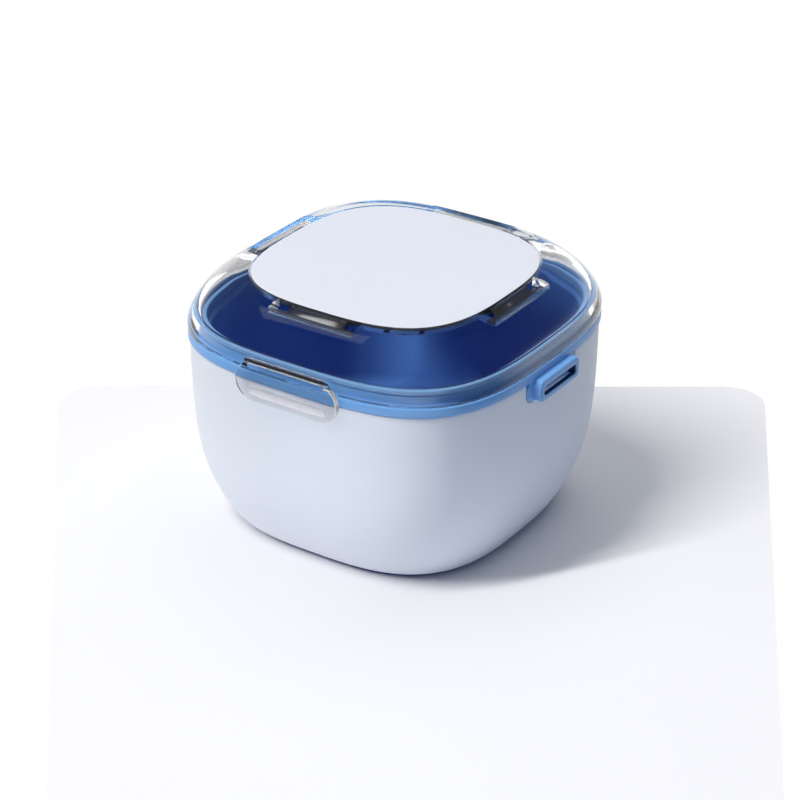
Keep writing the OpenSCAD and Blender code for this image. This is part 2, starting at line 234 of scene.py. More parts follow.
def turned(obj, degrees):  # turns a piece's mesh round the case's upright axis
    cosine, sine = math.cos(math.radians(degrees)), math.sin(math.radians(degrees))
    turn = np.array([[cosine, sine, 0], [-sine, cosine, 0], [0, 0, 1]])
    spots = np.empty(len(obj.data.vertices) * 3)
    obj.data.vertices.foreach_get("co", spots)
    obj.data.vertices.foreach_set("co", (spots.reshape(-1, 3) @ turn).ravel())
    obj.data.update()
    return obj


def wallLine(offset, zFloor, zTop, fillet, steps):
    # from the floor's edge up: a rounded corner, then the cup's side moved in by the offset, with more
    # points low down, where the side bends most
    arc = np.linspace(0, math.pi / 2, 9)
    zArc = zFloor + fillet * (1 - np.cos(arc))
    low = np.column_stack([sideHalf(zArc) - offset - fillet * (1 - np.sin(arc)), zArc])
    zWall = zFloor + fillet + (zTop - zFloor - fillet) * np.linspace(0, 1, steps + 1)[1:] ** 1.3
    return np.concatenate([low, np.column_stack([sideHalf(zWall) - offset, zWall])])


def flatEnd(line, atStart):  # an extra ring that keeps a flat cap flat to its edge
    if atStart:
        return np.concatenate([[[line[0][0] - capInset, line[0][1]]], line])
    return np.concatenate([line, [[line[-1][0] - capInset, line[-1][1]]]])


print("maker: materials")


def srgb(*values):  # screen colours 0 to 255 as the light that a shader takes
    shares = [v / 255 for v in values]
    return tuple(v / 12.92 if v <= 0.04045 else ((v + 0.055) / 1.055) ** 2.4 for v in shares)


def newMaterial(name):
    material = bpy.data.materials.new(name)
    material.use_nodes = True
    material.node_tree.nodes.clear()
    return material, material.node_tree.nodes, material.node_tree.links


def addNode(nodes, kind, values=None, **settings):  # values go on the node's own sockets
    made = nodes.new("ShaderNode" + kind)
    for name, value in settings.items():
        setattr(made, name, value)
    for socket, value in (values or {}).items():
        made.inputs[socket].default_value = value
    return made


def wire(links, *pairs):  # each pair: a node and its output, then a node and its input
    for source, output, target, socket in pairs:
        links.new(source.outputs[output], target.inputs[socket])


def mouldedPlastic(name, look):
    # a solid colour with slight flow marks, uneven gloss and a fine skin
    material, nodes, links = newMaterial(name)
    out = addNode(nodes, "OutputMaterial")
    shader = addNode(nodes, "BsdfPrincipled", {"IOR": look["ior"]})
    place = addNode(nodes, "TexCoord")
    flow = addNode(nodes, "TexNoise", {"Scale": look["flowScale"], "Detail": 4})
    skin = addNode(nodes, "TexNoise", {"Scale": look["skinScale"], "Detail": 3})
    tone = addNode(nodes, "MapRange", {"To Min": 1 - look["toneSpread"], "To Max": 1 + look["toneSpread"]})
    colour = addNode(nodes, "VectorMath", {0: look["colour"]}, operation="SCALE")
    gloss = addNode(nodes, "MapRange", {"To Min": look["roughness"] - look["roughSpread"],
                                        "To Max": look["roughness"] + look["roughSpread"]})
    bump = addNode(nodes, "Bump", {"Strength": look["skinStrength"], "Distance": look["skinHeight"] * mm})
    if look["litLipColour"]:  # painted light: above a height the piece takes a paler blue, standing in for its lit lip
        heights = addNode(nodes, "SeparateXYZ")
        above = addNode(nodes, "MapRange", {"From Min": (look["lipFrom"] - look["lipBlend"]) * mm,
                                            "From Max": (look["lipFrom"] + look["lipBlend"]) * mm})
        both = addNode(nodes, "Mix", data_type="RGBA")
        both.inputs[6].default_value = (*look["colour"], 1)
        both.inputs[7].default_value = (*look["litLipColour"], 1)
        wire(links, (place, "Object", heights, "Vector"), (heights, "Z", above, "Value"),
             (above, "Result", both, 0), (both, 2, colour, 0))
    if look["rimShade"] < 1:  # painted shade: upright faces are darker, flat ones keep the colour
        parts = addNode(nodes, "SeparateXYZ")
        upright = addNode(nodes, "MapRange", {"From Min": 0.5, "From Max": 0.8, "To Min": look["rimShade"]})
        shaded = addNode(nodes, "Math", operation="MULTIPLY")
        wire(links, (place, "Normal", parts, "Vector"), (parts, "Z", upright, "Value"),
             (upright, "Result", shaded, 0), (tone, "Result", shaded, 1), (shaded, "Value", colour, "Scale"))
    else:
        wire(links, (tone, "Result", colour, "Scale"))
    wire(links, (place, "Object", flow, "Vector"), (place, "Object", skin, "Vector"),
         (flow, "Fac", tone, "Value"), (colour, "Vector", shader, "Base Color"),
         (flow, "Fac", gloss, "Value"), (gloss, "Result", shader, "Roughness"),
         (skin, "Fac", bump, "Height"), (bump, "Normal", shader, "Normal"),
         (shader, "BSDF", out, "Surface"))
    return material


def clearPlastic(name, look):
    # clear moulded plastic: bends light for the eye, and lets the lamps' light through
    material, nodes, links = newMaterial(name)
    out = addNode(nodes, "OutputMaterial")
    glass = addNode(nodes, "BsdfPrincipled", {
        "Base Color": (*look["colour"], 1), "IOR": look["ior"], "Transmission Weight": look["clearness"],
        "Coat Weight": look["coat"], "Coat IOR": look["coatIor"], "Coat Roughness": look["coatRoughness"]})
    place = addNode(nodes, "TexCoord")
    haze = addNode(nodes, "TexNoise", {"Scale": look["hazeScale"], "Detail": 3})
    rough = addNode(nodes, "MapRange", {"From Min": 0.4, "From Max": 0.8, "To Min": look["roughness"],
                                        "To Max": look["roughness"] + look["roughSpread"]})
    wave = addNode(nodes, "Bump", {"Strength": look["waveStrength"], "Distance": look["waveHeight"] * mm})
    through = addNode(nodes, "BsdfTransparent", {"Color": (*look["shadowTint"], 1)})
    path = addNode(nodes, "LightPath")
    mix = addNode(nodes, "MixShader")
    wire(links, (place, "Object", haze, "Vector"), (haze, "Fac", rough, "Value"),
         (rough, "Result", glass, "Roughness"), (haze, "Fac", wave, "Height"),
         (wave, "Normal", glass, "Normal"), (path, "Is Shadow Ray", mix, "Fac"), (glass, "BSDF", mix, 1),
         (through, "BSDF", mix, 2), (mix, "Shader", out, "Surface"))
    return material


def groundSteel(name, look):
    # bright drawn wire, finely lined round its length
    material, nodes, links = newMaterial(name)
    out = addNode(nodes, "OutputMaterial")
    shader = addNode(nodes, "BsdfPrincipled", {"Base Color": (*look["colour"], 1), "Metallic": 1})
    place = addNode(nodes, "TexCoord")
    stretch = addNode(nodes, "Mapping", {"Scale": look["lineStretch"]})
    lines = addNode(nodes, "TexNoise", {"Scale": look["lineScale"]})
    rough = addNode(nodes, "MapRange", {"To Min": look["roughness"][0], "To Max": look["roughness"][1]})
    bump = addNode(nodes, "Bump", {"Strength": look["lineStrength"], "Distance": look["lineHeight"] * mm})
    wire(links, (place, "Object", stretch, "Vector"), (stretch, "Vector", lines, "Vector"),
         (lines, "Fac", rough, "Value"), (rough, "Result", shader, "Roughness"),
         (lines, "Fac", bump, "Height"), (bump, "Normal", shader, "Normal"),
         (shader, "BSDF", out, "Surface"))
    return material


plasticBase = {
    "flowScale": 38, "skinScale": 2600, "skinHeight": 0.02, "skinStrength": 0.12, "toneSpread": 0.012,
    "roughness": 0.36, "roughSpread": 0.03, "ior": 1.47, "rimShade": 1.0,
    "litLipColour": None, "lipFrom": 0, "lipBlend": 0.3,
}
cupPlastic = mouldedPlastic("cupPlastic", {**plasticBase, "colour": srgb(232, 238, 249)})
bowlPlastic = mouldedPlastic("bowlPlastic", {
    **plasticBase, "colour": srgb(120, 174, 235), "roughness": 0.26})
# painted shade: the bowl's blue darkened, put on the faces inside the strap slots
bowlPaintedShade = mouldedPlastic("bowlPaintedShade", {**plasticBase, "colour": srgb(34, 62, 110), "roughness": 0.4})
# the basket's top gets a painted highlight: a paler blue on the lip where it catches light
basketPlastic = mouldedPlastic("basketPlastic", {
    **plasticBase, "colour": srgb(95, 146, 226), "roughness": 0.16, "roughSpread": 0.02,
    "skinStrength": 0.05, "ior": 1.3, "litLipColour": srgb(118, 168, 226), "lipFrom": basketHigh[2] - 1.7})
footRubber = mouldedPlastic("footRubber", {
    **plasticBase, "colour": srgb(36, 70, 150), "roughness": 0.62, "skinScale": 4200, "skinStrength": 0.4})
sealRubber = mouldedPlastic("sealRubber", {
    **plasticBase, "colour": srgb(132, 178, 230), "roughness": 0.5, "skinScale": 4200, "skinStrength": 0.3})
# painted shade: the plate's upright edge is made nearly black for its dark rim
platePlastic = mouldedPlastic("platePlastic", {
    **plasticBase, "colour": srgb(215, 219, 230), "roughness": 0.32, "rimShade": 0.04})

clearBase = {
    "colour": (0.985, 0.992, 1.0), "ior": 1.49, "clearness": 1.0, "roughness": 0.0, "roughSpread": 0.02,
    "hazeScale": 60, "waveStrength": 0.05, "waveHeight": 0.1, "shadowTint": (0.99, 0.995, 1.0),
    "coat": 0.0, "coatIor": 1.5, "coatRoughness": 0.1,
}
lidClear = clearPlastic("lidClear", {
    **clearBase, "ior": 1.12, "coat": 1.0, "coatIor": 1.35, "coatRoughness": 0.03})
latchClear = clearPlastic("latchClear", {
    **clearBase, "colour": (0.98, 0.985, 0.99), "ior": 1.5, "shadowTint": (0.96, 0.97, 0.98)})
ridgeClear = clearPlastic("ridgeClear", {
    **clearBase, "colour": (0.99, 0.96, 1.0), "ior": 1.5, "clearness": 0.45, "roughness": 0.2,
    "shadowTint": (0.9, 0.9, 0.92)})
clipClear = clearPlastic("clipClear", {
    **clearBase, "colour": (0.5, 0.5, 0.52), "shadowTint": (0.6, 0.62, 0.68), "ior": 1.3,
    "coat": 1.0, "coatIor": 3.6, "coatRoughness": 0.14})
pinSteel = groundSteel("pinSteel", {
    "colour": (0.32, 0.33, 0.36), "roughness": (0.154, 0.308), "lineScale": 900, "lineStretch": (8, 1, 1),
    "lineStrength": 0.2, "lineHeight": 0.01})


def finishPiece(obj, material, body, node, angle=35):
    obj.data.materials.clear()
    obj.data.materials.append(material)
    smooth(obj, angle)
    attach(obj, body)
    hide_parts(node)
    return obj


print("maker: outer cup")
cupParts = {
    "wall": 1.4, "floor": 2.0, "edgeRound": 0.32, "baseFillet": 0.8, "innerFillet": 1.2,
    "grooveWidth": 5.1, "grooveInset": 0.55, "grooveDepth": 0.85,
    "notchWidth": 23.9, "notchRound": 3.0, "notchBelowTop": 5.8, "notchReach": 4.0,
}


def makeCup():
    p = cupParts
    bottom, top = cupLow[2], cupHigh[2]
    grooveOut = sideHalf(bottom) - p["baseFillet"] - p["grooveInset"]
    grooveIn = grooveOut - p["grooveWidth"]
    line = np.concatenate([
        [[grooveIn - capInset, bottom], [grooveIn, bottom], [grooveIn, bottom + p["grooveDepth"]],
         [grooveOut, bottom + p["grooveDepth"]], [grooveOut, bottom]],
        wallLine(0, bottom, top - p["edgeRound"], p["baseFillet"], 44),
        roundedLine([(cupHalf, top - 2 * p["edgeRound"], 0), (cupHalf, top, p["edgeRound"]),
                     (cupHalf - p["wall"], top, p["edgeRound"]),
                     (cupHalf - p["wall"], top - 2 * p["edgeRound"], 0)])[1:-1],
        wallLine(p["wall"], bottom + p["floor"], top - p["edgeRound"], p["innerFillet"], 30)[::-1],
    ])
    line = flatEnd(line, False)
    cup = shell("outerCup", line)
    notches = []
    for side in (-1, 1):
        outline = roundRect(p["notchWidth"], p["notchWidth"], p["notchRound"],
                            middle=(0, top - p["notchBelowTop"] + p["notchWidth"] / 2))
        notches.append(prism("notch", outline, side * (cupHalf - p["notchReach"]),
                             side * (cupHalf + p["notchReach"]), "x"))
    shapeWith(cup, notches, "DIFFERENCE")
    return finishPiece(cup, cupPlastic, "base", "outer_cup")


makeCup()

print("maker: foot ring")
footParts = {"width": 5.0, "edgeRound": 0.35, "topRound": 0.1}


def makeFoot():
    p = footParts
    out, top = footHigh[0], footHigh[2]
    inner = out - p["width"]
    line = roundedLine([(inner, 0, p["edgeRound"]), (out, 0, p["edgeRound"]),
                        (out, top, p["topRound"]), (inner, top, p["topRound"])], 4, True)
    foot = shell("footRing", line, np.full(len(line), caseShape["baseSquare"]), True)
    return finishPiece(foot, footRubber, "base", "foot_ring")


makeFoot()

print("maker: bowl")
bowlParts = {
    "nestOffset": 1.65, "inOffset": 3.65, "floor": 1.8, "outerFillet": 2.2, "innerFillet": 4.0,
    "bandHeight": 2.5, "bandRound": 0.28, "tightRound": 0.1, "lipFootRound": 0.15,
    "lipOut": 45.2, "lipIn": 44.15, "lipRound": 0.3, "ledgeDepth": 3.4,
    "lugWidth": 18.8, "lugHeight": 6.0, "lugRound": 1.7, "lugFront": 0.7, "lugTopAboveRim": 0.4,
    "lugSink": 1.2,
    "rootWidth": 23.4, "rootProud": 0.2, "rootRound": 2.7, "rootSink": 2.3, "rootTopAboveRim": 0.5,
    "rootBelowLug": 0.1, "rootEdge": 0.2,
    "slotWidth": 15.4, "slotHeight": 2.5, "slotRound": 0.85, "slotDepth": 3.9, "slotEdge": 0.3,
    "slotDrop": 0.15, "slotEndRound": 0.3,
    "barThickness": 1.3, "exitInset": 0.6, "exitWall": 0.1, "exitRound": 0.3,
    # where the runs of the profile end and start, below the rim and below the basket's ledge
    "wallEnd": 0.6, "bandStart": 0.5, "ledgeEnd": 0.3, "innerStart": 0.35,
    "slotMouth": 0.2, "slotSlack": 0.05,
}


def makeLug(side):
    p = bowlParts
    face = bowlHigh[0]
    middleZ = rimZ + p["lugTopAboveRim"] - p["lugHeight"] / 2
    rootFace = cupHalf + p["rootProud"]
    rings = []

    def ring(x, width, height, radius, z=middleZ):
        flat = roundRect(width, height, max(radius, 0.05), 12, (0, z))
        rings.append(np.column_stack([np.full(len(flat), x), flat]))

    front = p["lugFront"]
    ring(rootFace - p["lugSink"], p["lugWidth"], p["lugHeight"], p["lugRound"])
    for k in range(9):
        a = math.radians(90 * k / 8)
        inset = front * (1 - math.cos(a))
        ring(face - front + front * math.sin(a), p["lugWidth"] - 2 * inset, p["lugHeight"] - 2 * inset,
             p["lugRound"] - inset)
    slotZ = middleZ - p["slotDrop"]
    edge, end = p["slotEdge"], p["slotEndRound"]
    for k in range(7):
        a = math.radians(90 * k / 6)
        grow = edge * (1 - math.sin(a))
        ring(face - edge * (1 - math.cos(a)), p["slotWidth"] + 2 * grow, p["slotHeight"] + 2 * grow,
             p["slotRound"] + grow, slotZ)
    ring(face - p["slotDepth"] + end, p["slotWidth"], p["slotHeight"], p["slotRound"], slotZ)
    ring(face - p["slotDepth"], p["slotWidth"] - 2 * end, p["slotHeight"] - 2 * end,
         p["slotRound"] - end, slotZ)
    loop = joinRings("lug", rings)
    # the strap's way out underneath, behind the bar
    exitIn, exitOut = rootFace + p["exitWall"], face - p["barThickness"]
    exitEnd = roundRect(exitOut - exitIn, p["slotWidth"] - 2 * p["exitInset"], p["exitRound"],
                        middle=((exitOut + exitIn) / 2, 0))
    exitCut = prism("exit", exitEnd, middleZ - p["lugHeight"] / 2 - cutPast, slotZ, "z")
    shapeWith(loop, [exitCut], "DIFFERENCE")
    if side < 0:
        turned(loop, 180)
    return loop


def makeRoot(side):
    p = bowlParts
    bottom = rimZ + p["lugTopAboveRim"] - p["lugHeight"] - p["rootBelowLug"]
    top = rimZ + p["rootTopAboveRim"]
    face, edge = cupHalf + p["rootProud"], p["rootEdge"]
    rings = []
    for x, inset in ((cupHalf - p["rootSink"], 0), (face - edge, 0), (face - 0.3 * edge, 0.3 * edge),
                     (face, edge)):
        flat = roundRect(p["rootWidth"] - 2 * inset, top - bottom - 2 * inset, p["rootRound"] - inset, 12,
                         (0, (top + bottom) / 2))
        rings.append(np.column_stack([np.full(len(flat), x), flat]))
    root = joinRings("root", rings)
    if side < 0:
        turned(root, 180)
    return root


def makeBowl():
    p = bowlParts
    bottom, top = bowlLow[2], bowlHigh[2]
    bandTop = rimZ + p["bandHeight"]
    ledgeZ = top - p["ledgeDepth"]
    nestHalf = cupHalf - p["nestOffset"]
    inHalf = cupHalf - p["inOffset"]
    band, lip, tight = p["bandRound"], p["lipRound"], p["tightRound"]
    line = np.concatenate([
        wallLine(p["nestOffset"], bottom, rimZ - p["wallEnd"], p["outerFillet"], 20),
        roundedLine([(nestHalf, rimZ - p["bandStart"], 0), (nestHalf, rimZ, tight), (rimHalf, rimZ, band),
                     (rimHalf, bandTop, band), (p["lipOut"], bandTop, p["lipFootRound"]),
                     (p["lipOut"], top, lip), (p["lipIn"], top, lip), (p["lipIn"], ledgeZ, tight),
                     (inHalf, ledgeZ, tight), (inHalf, ledgeZ - p["ledgeEnd"], 0)]),
        wallLine(p["inOffset"], bottom + p["floor"], ledgeZ - p["innerStart"], p["innerFillet"], 20)[::-1],
    ])
    line = flatEnd(flatEnd(line, False), True)
    bowl = shell("soakBowl", line)
    shapeWith(bowl, [makeRoot(1), makeRoot(-1)], "UNION")
    shapeWith(bowl, [makeLug(1), makeLug(-1)], "UNION")
    finishPiece(bowl, bowlPlastic, "base", "soak_bowl", 30)
    bowl.data.materials.append(bowlPaintedShade)  # painted shade: a darker blue for the faces inside the strap slots, where little light gets
    slotZ = rimZ + p["lugTopAboveRim"] - p["lugHeight"] / 2 - p["slotDrop"]
    slack = p["slotSlack"]
    # faces deep in the strap slots take the painted shade
    for face in bowl.data.polygons:
        x, y, z = (abs(value) / mm for value in face.center)
        withinShadedDepth = bowlHigh[0] - p["slotDepth"] - 2 * slack < x < bowlHigh[0] - p["slotMouth"]
        if withinShadedDepth and y < p["slotWidth"] / 2 + slack and abs(z - slotZ) < p["slotHeight"] / 2 + slack:
            face.material_index = 1


makeBowl()

print("maker: basket")
basketParts = {
    "outOffset": 4.0, "inOffset": 5.2, "floor": 1.6, "fillet": 5.8, "lipIn": 42.6, "lipRound": 0.3,
    "flangeAbove": 0.1, "flangeRound": 0.15, "ledgeBelowTop": 3.8, "shoulder": 0.4, "tightRound": 0.1,
    "holeDiameter": 3.2, "holePitch": 7.5, "holeRings": 3,
    # where the runs of the profile end and start, below or above the ledge
    "wallEnd": 0.5, "flangeStart": 0.4, "lipEnd": 1.3, "innerStart": 0.2,
}


def joinLoose(obj, others):  # several separate bodies in one mesh
    bm = bmesh.new()
    bm.from_mesh(obj.data)
    for other in others:
        bm.from_mesh(other.data)
        bpy.data.objects.remove(other)
    bm.to_mesh(obj.data)
    bm.free()
    return obj


def makeBasket():
    p = basketParts
    bottom, top = basketLow[2], basketHigh[2]
    ledgeZ = top - p["ledgeBelowTop"]
    flangeZ = ledgeZ + p["flangeAbove"]
    out, bend = basketHigh[0], p["shoulder"]
    outHalf, inHalf = cupHalf - p["outOffset"], cupHalf - p["inOffset"]
    line = np.concatenate([
        wallLine(p["outOffset"], bottom, ledgeZ - p["wallEnd"], p["fillet"], 22),
        roundedLine([(outHalf, ledgeZ - p["flangeStart"], 0), (outHalf, flangeZ, p["tightRound"]),
                     (out, flangeZ, p["flangeRound"]), (out, top, p["lipRound"]),
                     (p["lipIn"], top, p["lipRound"]), (p["lipIn"], ledgeZ + p["lipEnd"], bend),
                     (inHalf, ledgeZ + bend, bend), (inHalf, ledgeZ, 0)], 6),
        wallLine(p["inOffset"], bottom + p["floor"], ledgeZ - p["innerStart"], p["fillet"], 34)[::-1],
    ])
    line = flatEnd(flatEnd(line, False), True)
    basket = shell("strainerBasket", line)
    holes = []
    for ring in range(p["holeRings"] + 1):
        inRing = max(1, 6 * ring)
        for k in range(inRing):
            a = 2 * math.pi * k / inRing
            spot = (ring * p["holePitch"] * math.cos(a), ring * p["holePitch"] * math.sin(a))
            holes.append(prism("hole", circlePoints(p["holeDiameter"] / 2, spot, 28), bottom - cutPast,
                               bottom + p["floor"] + cutPast, "z"))
    shapeWith(basket, [joinLoose(holes[0], holes[1:])], "DIFFERENCE")
    return finishPiece(basket, basketPlastic, "basket", "strainer_basket")


makeBasket()

print("maker: lid")
lidParts = {
    "wall": 2.0, "roof": 1.6, "skirtHeight": 1.85, "skirtRound": 0.25, "edgeRound": 0.3, "tightRound": 0.1,
    "shoulderRound": 1.55, "shoulderSteps": 22, "sealSeat": 44.0, "sealGap": 0.05,
    "plateGap": 0.35, "borderHalf": 36.3, "borderRound": 0.2, "recessDepth": 2.5, "recessRound": 0.15,
    "roofInset": 1.8, "earGrip": 1.4, "earGap": 0.15, "pinGap": 0.01, "clipLength": 25.7, "clipGap": 0.15,
    "skirtRun": 1.0, "recessRun": 2.0,  # straight runs on from the last rounded corners
}
recessHalf = plateHigh[0] + lidParts["plateGap"]
hingeY = (pinLow[1] + pinHigh[1]) / 2  # the front latch's axis; the rear one mirrors it
hingeZ = (pinLow[2] + pinHigh[2]) / 2
pinRadius = (pinHigh[2] - pinLow[2]) / 2
barrelRadius = latchHigh[2] - hingeZ


def earBody(sideX, sideY):  # holds one end of a latch's pin
    p = lidParts
    start = pinHigh[0] - p["earGrip"] + p["earGap"]
    points = []
    for k in range(25):
        a = math.radians(90 + 180 * k / 24)
        points.append((hingeY + barrelRadius * math.cos(a), hingeZ + barrelRadius * math.sin(a)))
    inside = -(rimHalf - p["wall"] / 2)
    points += [(inside, hingeZ - barrelRadius), (inside, hingeZ + barrelRadius)]
    ear = prism("ear", points, sideX * start, sideX * pinHigh[0], "x")
    if sideY > 0:
        turned(ear, 180)
    return ear


def makeLid():
    p = lidParts
    bottom, top = lidLow[2], lidHigh[2]
    shoulderZ = bottom + p["skirtHeight"]
    recessZ = top - p["recessDepth"]
    roofZ = recessZ - p["roof"]
    sealTop = sealHigh[2] + p["sealGap"]
    borderHalf, roofHalf = p["borderHalf"], recessHalf - p["roofInset"]
    seat, skirtIn = p["sealSeat"], rimHalf - p["wall"]
    rimSquare, plateSquare = caseShape["rimSquare"], caseShape["plateSquare"]
    # the shoulder is a rounded quarter whose outline turns from the rim's to the plate's
    power = 2 / p["shoulderRound"]
    turn = np.linspace(0, math.pi / 2, p["shoulderSteps"] + 1)
    inward, upward = np.cos(turn) ** power, np.sin(turn) ** power
    outer = np.column_stack([borderHalf + (rimHalf - borderHalf) * inward,
                             shoulderZ + (top - shoulderZ) * upward])
    inner = np.column_stack([roofHalf + (seat - roofHalf) * inward,
                             sealTop + (roofZ - sealTop) * upward])[::-1]
    squareOut = rimSquare + (plateSquare - rimSquare) * (turn / (math.pi / 2))
    skirt = roundedLine([(seat, sealTop, 0), (skirtIn, sealTop, p["tightRound"]),
                         (skirtIn, bottom, p["skirtRound"]), (rimHalf, bottom, p["edgeRound"]),
                         (rimHalf, bottom + p["skirtRun"], 0)])
    recess = roundedLine([(borderHalf, top, 0), (recessHalf, top, p["borderRound"]),
                          (recessHalf, recessZ, p["recessRound"]),
                          (recessHalf - p["recessRun"], recessZ, 0)])
    line = np.concatenate([[[roofHalf - capInset, roofZ]], inner, skirt[1:], outer, recess[1:]])
    squares = np.concatenate([[plateSquare], squareOut[::-1], np.full(len(skirt) - 1, rimSquare),
                              squareOut, np.full(len(recess) - 1, plateSquare)])
    lid = shell("lid", line, squares)
    shapeWith(lid, [earBody(x, y) for x in (-1, 1) for y in (-1, 1)], "UNION")
    notchHalf, notchOut, notchIn = p["clipLength"] / 2, clipHigh[0] + p["clipGap"], recessHalf - cutPast
    cutters = []
    for quarter in range(4):
        notch = prism("notch", [(-notchHalf, -notchOut), (notchHalf, -notchOut), (notchHalf, -notchIn),
                                (-notchHalf, -notchIn)], recessZ, top + cutPast, "z")
        cutters.append(turned(notch, 90 * quarter))
    boreEnd = pinHigh[0] + cutPast
    for y in (hingeY, -hingeY):
        boreLine = circlePoints(pinRadius + p["pinGap"], (y, hingeZ))
        cutters.append(prism("bore", boreLine, -boreEnd, boreEnd, "x"))
    shapeWith(lid, cutters, "DIFFERENCE")
    return finishPiece(lid, lidClear, "cover", "lid", 30)


makeLid()

print("maker: seal")
sealParts = {"width": 1.3, "edgeRound": 0.35}


def makeSeal():
    out, inner = sealHigh[0], sealHigh[0] - sealParts["width"]
    corners = ((inner, sealLow[2]), (out, sealLow[2]), (out, sealHigh[2]), (inner, sealHigh[2]))
    line = roundedLine([(*corner, sealParts["edgeRound"]) for corner in corners], 5, True)
    seal = shell("lidSeal", line, np.full(len(line), caseShape["rimSquare"]), True)
    return finishPiece(seal, sealRubber, "cover", "lid_seal")


makeSeal()

print("maker: plate")
plateParts = {"edge": 1.5, "overhang": 3.6, "edgeRound": 0.22, "underRound": 0.1, "brimRound": 0.15}


def makePlate():
    p = plateParts
    half, top, bottom = plateHigh[0], plateHigh[2], plateLow[2]
    under, brimZ = half - p["overhang"], plateHigh[2] - p["edge"]
    line = roundedLine([(under - 1, bottom, 0), (under, bottom, p["underRound"]),
                        (under, brimZ, p["underRound"]), (half, brimZ, p["brimRound"]),
                        (half, top, p["edgeRound"]), (half - capInset, top, 0)], 6)
    plate = shell("topPlate", line, np.full(len(line), caseShape["plateSquare"]))
    return finishPiece(plate, platePlastic, "cover", "top_plate")


makePlate()

print("maker: clips")
clipParts = {
    "barLength": 25.4, "barWidth": 2.6, "barThickness": 0.7, "barSlope": 0.05, "edgeRound": 0.14,
    "tongueWidth": 16.8, "tongueLap": 0.9, "toeShort": 0.6, "toeGap": 0.05, "neckGap": 0.1,
}


def makeClips():
    # each T has a bar on the lid's border and a tongue that goes down the gap and under the plate's brim
    p = clipParts
    barOut, bottom = clipHigh[0], clipLow[2]
    barIn, barTop, barHalf = barOut - p["barWidth"], bottom + p["barThickness"], p["barLength"] / 2
    lap, neck, tongueHalf = barIn + p["tongueLap"], plateHigh[0] + p["neckGap"], p["tongueWidth"] / 2
    toeIn = plateHigh[0] - plateParts["overhang"] + p["toeShort"]
    toeZ = caseTop - plateParts["edge"] - p["toeGap"]
    clips = []
    for quarter in range(4):
        bar = prism("bar", [(-barOut, bottom), (-barIn, bottom), (-barIn, barTop),
                            (-barOut, barTop - p["barSlope"])], -barHalf, barHalf, "x")
        tongue = prism("tongue", [(-lap, bottom), (-toeIn, bottom), (-toeIn, toeZ), (-neck, toeZ),
                                  (-neck, clipHigh[2]), (-lap, barTop)], -tongueHalf, tongueHalf, "x")
        clip = roundEdges(shapeWith(bar, [tongue], "UNION"), p["edgeRound"])
        clips.append(turned(clip, 90 * quarter))
    whole = joinLoose(clips[0], clips[1:])
    whole.name = "plateClips"
    return finishPiece(whole, clipClear, "cover", "plate_clips")


makeClips()

print("maker: latches")
latchParts = {
    "gap": 0.55, "edgeRound": 0.55, "chamfer": 0.15, "faceBorder": 0.3, "columns": 30, "pinGap": 0.05,
    "ridgeLength": 23.2, "ridgeHeight": 2.7, "ridgeBelowBand": 0.9, "ridgeRoot": 0.6, "hookGap": 0.1,
    "earRoom": 0.3, "roomAbove": 3.0, "roomLength": 9.0, "roomInset": 2.0,
}
pinParts = {"chamfer": 0.12}


def rimDepth(x, extra):  # how far out the rim lies at a place along a side
    half, square = rimHalf + extra, caseShape["rimSquare"]
    return half * (1 - np.minimum(1, np.abs(x) / half) ** square) ** (1 / square)


def latchBody():
    p = latchParts
    half, bottom, out = latchHigh[0], latchLow[2], -latchLow[1]
    radius = (hingeZ - bottom) / 2
    middleZ = bottom + radius
    endX = half - radius
    turn = np.linspace(0, math.pi, p["columns"] + 1)
    middle = p["columns"] // 2
    columnX = np.concatenate([-endX - radius * np.cos(turn[:middle + 1]), np.linspace(-endX, endX, 24)[1:-1],
                              endX - radius * np.cos(turn[middle:])])
    pastEnd = np.abs(columnX) - endX
    columnH = np.where(pastEnd > 0, np.sqrt(np.maximum(0, radius ** 2 - pastEnd ** 2)), radius)
    # layers from the rim out: (depth, inset), where no depth means along the rim's own curve; the last
    # one is a flat border that keeps the face's shading flat
    edge, chamfer = p["edgeRound"], p["chamfer"]
    layerAt = [(None, chamfer), (None, 0)]
    for a in np.linspace(0, math.pi / 2, 6):
        layerAt.append((out - edge + edge * math.sin(a), edge * (1 - math.cos(a))))
    layerAt.append((out, edge + p["faceBorder"]))
    layers = []
    for k, (depth, inset) in enumerate(layerAt):
        x = columnX * (half - inset) / half
        h = columnH * (radius - inset) / radius
        if depth is None:
            y = rimDepth(x, p["gap"]) + (0 if k == 0 else chamfer)
        else:
            y = np.full(len(x), depth)
        # along the top from left to right, back along the bottom
        topSide = np.column_stack([x, -y, middleZ + h])
        lowSide = np.column_stack([x, -y, middleZ - h])[::-1][1:-1]
        layers.append(np.concatenate([topSide, lowSide]))
    count, across = len(layers[0]), len(columnX)
    faces = []
    for i in range(len(layers) - 1):
        a, b = i * count, (i + 1) * count
        faces += [(a + k, a + (k + 1) % count, b + (k + 1) % count, b + k) for k in range(count)]
    for base in (0, (len(layers) - 1) * count):
        low = [base] + [base + count - k for k in range(1, across - 1)] + [base + across - 1]
        for k in range(across - 1):
            corner = [base + k, base + k + 1, low[k + 1], low[k]]
            faces.append(tuple(dict.fromkeys(corner)))
    return makeObject("latch", np.concatenate(layers), faces)


